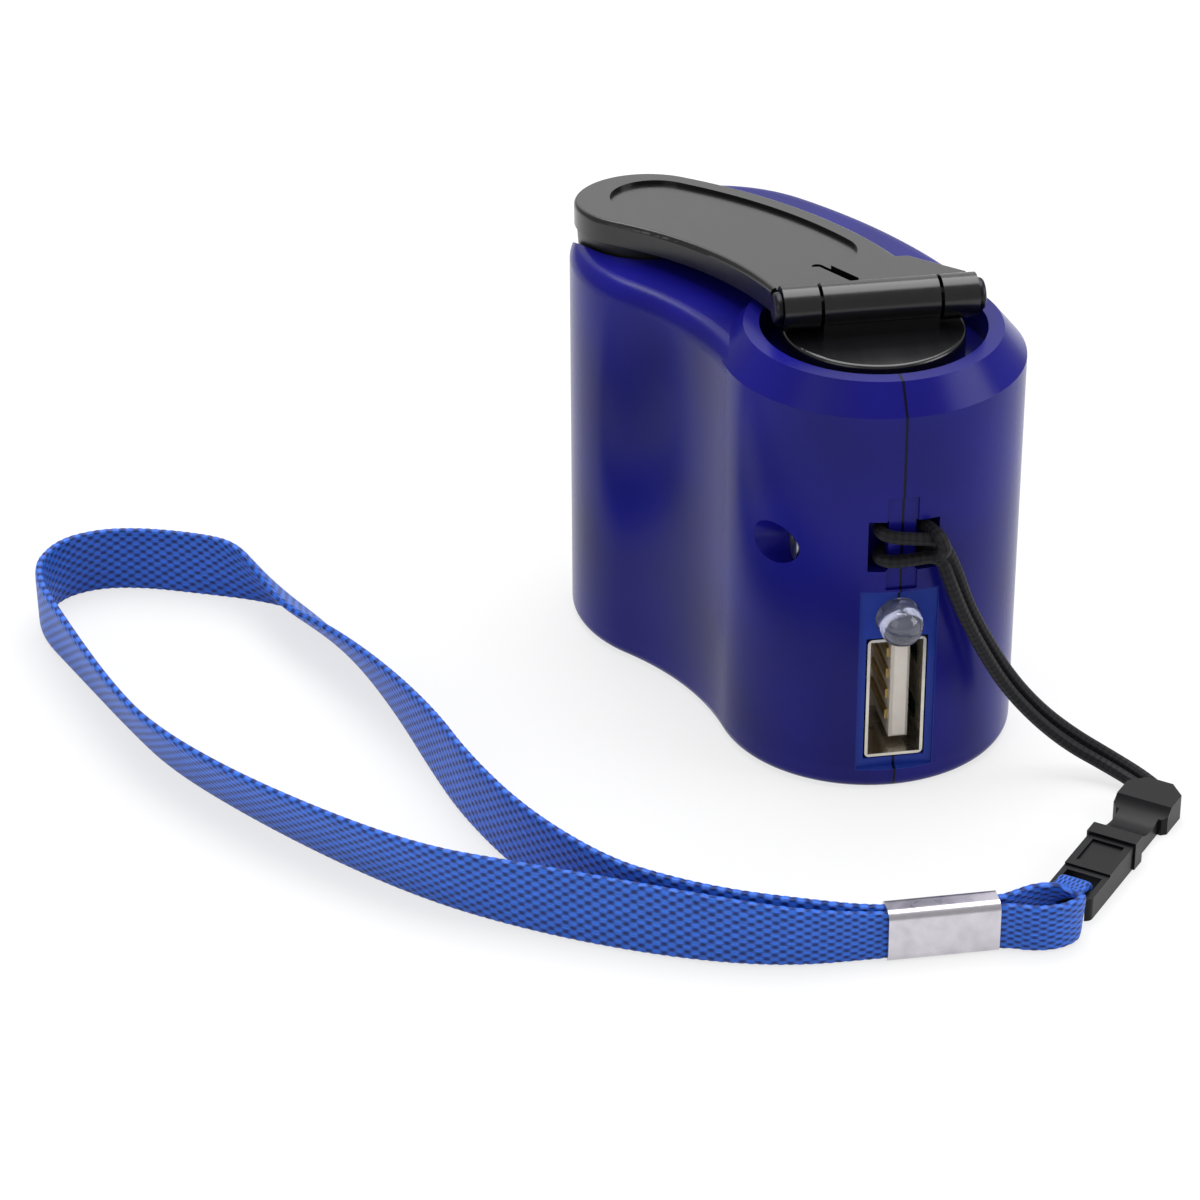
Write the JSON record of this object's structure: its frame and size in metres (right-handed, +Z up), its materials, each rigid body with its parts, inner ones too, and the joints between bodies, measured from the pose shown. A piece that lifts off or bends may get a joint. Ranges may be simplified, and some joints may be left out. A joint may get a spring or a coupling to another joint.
{
  "type": "hand crank phone charger",
  "caption": "Pocket hand-crank charger: kidney-shaped translucent housing, folding crank with knob, power socket, lamp, gear train and motor, with a clip-on wrist strap.",
  "frame": {"origin": "on the flat base, under the axis of the crank hub", "axes": "+Z up out of the crank hub, -Y out of the power socket, +X to the right seen from the socket"},
  "size_m": [0.1067, 0.0828, 0.0475],
  "materials": {
    "housing": "smooth translucent moulding, satin gloss",
    "black_plastic": "moulded, fine satin gloss",
    "buckle_black": "moulded",
    "pin_steel": "peened ends",
    "screw_steel": "zinc plated",
    "plate_steel": "stamped sheet",
    "motor_steel": "drawn can",
    "socket_steel": "bright tin plate",
    "crimp_chrome": "polished, bent sheet",
    "contact_brass": "plated",
    "gear_brass": "cut teeth",
    "coil_wire": "wound copper wire",
    "gear_plastic": "natural acetal",
    "tongue_plastic": "moulded",
    "board_green": "solder mask",
    "chip_black": "moulded",
    "capacitor_sleeve": "shrunk sleeve",
    "lead_red": "insulated wire",
    "lamp_clear": "clear moulded lens",
    "cord_black": "braided",
    "strap_blue": "woven tape with a soft sheen"
  },
  "bodies": {
    "housing": {"shell_left": "housing", "shell_right": "housing", "case_screws": "screw_steel", "gear_plate_lower": "plate_steel", "gear_plate_upper": "plate_steel", "gear_axles": "screw_steel", "plate_pillars": "plate_steel", "motor_can": "motor_steel", "motor_end_cap": "black_plastic", "motor_terminals": "contact_brass", "motor_leads": "lead_red", "socket_shell": "socket_steel", "socket_tongue": "tongue_plastic", "socket_contacts": "contact_brass", "lamp_lens": "lamp_clear", "lamp_legs": "screw_steel", "circuit_board": "board_green", "storage_capacitor": "capacitor_sleeve", "choke_coil": "coil_wire", "bridge_diodes": "chip_black", "regulator_chip": "chip_black", "crank_hub": "black_plastic", "hub_washer": "screw_steel", "hub_screw": "screw_steel", "hinge_pin": "pin_steel", "lanyard_cord": "cord_black", "buckle_clip": "buckle_black"},
    "arm": {"crank_arm": "black_plastic", "knob_axle": "screw_steel"},
    "knob": {"knob": "black_plastic", "knob_cap": "black_plastic"},
    "drive": {"drive_gear": "gear_plastic", "clutch_ring": "screw_steel"},
    "first": {"first_gear": "gear_plastic"},
    "second": {"second_gear": "gear_plastic"},
    "rotor": {"motor_shaft": "screw_steel", "motor_pinion": "gear_brass"},
    "strap": {"buckle_socket": "buckle_black", "strap_crimp": "crimp_chrome", "wrist_strap": "strap_blue", "strap_loop": "strap_blue"}
  },
  "joints": [
    {"name": "arm_fold", "type": "hinge", "parent": "housing", "child": "arm", "pos_m": [0.0004, 0, 0.0454], "axis": [1, 0, 0], "range_deg": [0, 180]},
    {"name": "knob_spin", "type": "hinge", "parent": "arm", "child": "knob", "pos_m": [-0.01699, 0.02782, 0.04234], "axis": [0, 0.0593, 0.9982], "continuous": true},
    {"name": "drive_spin", "type": "hinge", "parent": "housing", "child": "drive", "pos_m": [0, 0, 0.036], "axis": [0, 0, 1], "continuous": true},
    {"name": "first_spin", "type": "hinge", "parent": "housing", "child": "first", "pos_m": [-0.00082, 0.01347, 0.0325], "axis": [0, 0, 1], "continuous": true},
    {"name": "second_spin", "type": "hinge", "parent": "housing", "child": "second", "pos_m": [-0.01069, 0.01708, 0.025], "axis": [0, 0, 1], "continuous": true},
    {"name": "rotor_spin", "type": "hinge", "parent": "housing", "child": "rotor", "pos_m": [-0.00895, 0.02693, 0.025], "axis": [0, 0, 1], "continuous": true},
    {"name": "buckle_part", "type": "slide", "parent": "housing", "child": "strap", "axis": [-0.6266, -0.7793, 0], "range_m": [0, 0.008]}
  ],
  "couplings": [
    {"joint": "first_spin", "follows": "drive_spin", "ratio": -4.4},
    {"joint": "second_spin", "follows": "drive_spin", "ratio": 14.08},
    {"joint": "rotor_spin", "follows": "drive_spin", "ratio": -42.24}
  ]
}
